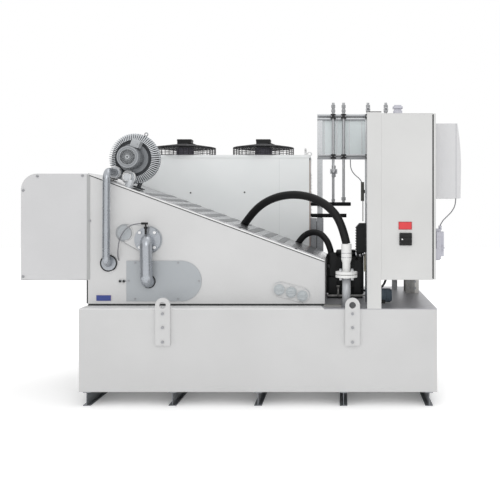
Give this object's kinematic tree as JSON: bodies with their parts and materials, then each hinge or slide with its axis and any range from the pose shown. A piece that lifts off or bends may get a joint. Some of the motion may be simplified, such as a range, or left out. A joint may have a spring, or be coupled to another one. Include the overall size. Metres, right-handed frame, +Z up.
{
  "type": "coolant filtration unit",
  "caption": "Tank on skids with a sloped belt-filter housing, discharge hood, side-channel blower, fan chiller, control cabinet, pump, hoses and risers.",
  "frame": {"origin": "centre of the tank's footprint on the floor, under the middle skid", "axes": "+Z up, +X along the tank from the discharge hood to the cabinet, +Y to the rear"},
  "size_m": [3.2691, 1.561, 2.362],
  "materials": {
    "galvanised": "hot-dip galvanised",
    "tank_paint": "light grey powder coat",
    "deck_steel": "brushed stainless",
    "housing_paint": "light grey powder coat",
    "seal_rubber": "black rubber",
    "stainless": "cold-rolled stainless",
    "cover_grey": "grey satin",
    "zinc_bolt": "zinc plated",
    "cap_grey": "moulded grey",
    "pipe_steel": "silver grey paint",
    "black_plastic": "moulded black",
    "label": "coloured plate, blank",
    "belt_mesh": "woven filter belt",
    "shaft_steel": "turned",
    "bearing_iron": "cast",
    "cast_aluminium": "die cast",
    "motor_grey": "grey enamel",
    "chiller_paint": "light grey powder coat",
    "copper_coil": "copper and fins",
    "guard_black": "black coated wire",
    "cabinet_paint": "textured powder coat",
    "unit_plastic": "moulded light grey",
    "connector_grey": "blue grey enamel",
    "panel_blue_grey": "blue grey paint",
    "insulation": "foam rubber",
    "pump_black": "black enamel",
    "pipe_white": "white enamel",
    "hose_rubber": "smooth black rubber",
    "cable_jacket": "cable sheath"
  },
  "bodies": {
    "machine": {"skid_beams": "galvanised", "tank_shell": "tank_paint", "tank_top_plate": "tank_paint", "service_deck": "deck_steel", "lifting_lugs": "tank_paint", "screws": "zinc_bolt", "housing_seal": "seal_rubber", "filter_housing": "housing_paint", "slope_cover": "stainless", "housing_trim": "stainless", "discharge_hood": "housing_paint", "cover_plates": "cover_grey", "port_caps": "cap_grey", "suction_pipe": "pipe_steel", "vacuum_sensor": "black_plastic", "blower_pipe": "pipe_steel", "label_plates": "label", "filter_belt": "belt_mesh", "shaft_bearings": "bearing_iron", "blower_casing": "cast_aluminium", "blower_motor": "motor_grey", "blower_terminal_box": "motor_grey", "blower_silencer": "cast_aluminium", "chiller_panels": "chiller_paint", "chiller_top": "chiller_paint", "cooling_circuit": "copper_coil", "fan_guards": "guard_black", "fan_motors": "black_plastic", "cabinet_columns": "cabinet_paint", "cabinet_body": "cabinet_paint", "mounting_plate": "galvanised", "main_switch_base": "black_plastic", "cabinet_legs": "galvanised", "strut_frame": "galvanised", "frame_panel": "panel_blue_grey", "riser_pipes": "galvanised", "pipe_clamps": "black_plastic", "insulated_pipes": "insulation", "transfer_pump": "pump_black", "inverter_box": "pump_black", "inline_connector": "black_plastic", "flanged_pipe": "pipe_white", "large_hose": "hose_rubber", "hose_fittings": "hose_rubber", "return_pipe": "hose_rubber", "sensor_cable": "cable_jacket", "level_cable": "cable_jacket", "power_cable": "cable_jacket"},
    "fan_left": {"fan_rotor_left": "black_plastic"},
    "fan_right": {"fan_rotor_right": "black_plastic"},
    "blower_rotor": {"blower_rotor": "cast_aluminium"},
    "switch_knob": {"switch_knob": "black_plastic"},
    "near_door": {"near_door": "cabinet_paint", "cooling_unit": "unit_plastic", "junction_box": "connector_grey", "cooler_cable": "cable_jacket"},
    "far_door": {"far_door": "cabinet_paint"},
    "near_handle": {"near_handle": "black_plastic"},
    "drive_shaft": {"drive_shaft": "shaft_steel"},
    "tail_shaft": {"tail_shaft": "shaft_steel"}
  },
  "joints": [
    {"name": "fan_left_spin", "type": "hinge", "parent": "machine", "child": "fan_left", "pos_m": [-0.793, 0.5, 1.83], "axis": [0, 0, 1], "continuous": true},
    {"name": "fan_right_spin", "type": "hinge", "parent": "machine", "child": "fan_right", "pos_m": [-0.093, 0.5, 1.83], "axis": [0, 0, 1], "continuous": true},
    {"name": "blower_spin", "type": "hinge", "parent": "machine", "child": "blower_rotor", "pos_m": [-0.992, -0.4, 1.806], "axis": [0, -1, 0], "continuous": true},
    {"name": "main_switch_turn", "type": "hinge", "parent": "machine", "child": "switch_knob", "pos_m": [1.063, -0.77, 1.201], "axis": [0, 1, 0], "range_deg": [0, 90]},
    {"name": "near_door_swing", "type": "hinge", "parent": "machine", "child": "near_door", "pos_m": [1.264, -0.75, 1.508], "axis": [0, 0, -1], "range_deg": [0, 110]},
    {"name": "far_door_swing", "type": "hinge", "parent": "machine", "child": "far_door", "pos_m": [1.264, 0.45, 1.508], "axis": [0, 0, 1], "range_deg": [0, 110]},
    {"name": "near_handle_turn", "type": "hinge", "parent": "near_door", "child": "near_handle", "pos_m": [1.29, -0.19, 1.5], "axis": [1, 0, 0], "range_deg": [0, 90]},
    {"name": "drive_shaft_spin", "type": "hinge", "parent": "machine", "child": "drive_shaft", "pos_m": [-1.41, 0, 1.3], "axis": [0, 1, 0], "continuous": true},
    {"name": "tail_shaft_spin", "type": "hinge", "parent": "machine", "child": "tail_shaft", "pos_m": [0.3, 0, 0.83], "axis": [0, 1, 0], "continuous": true}
  ],
  "couplings": [
    {"joint": "tail_shaft_spin", "follows": "drive_shaft_spin", "ratio": 1}
  ]
}
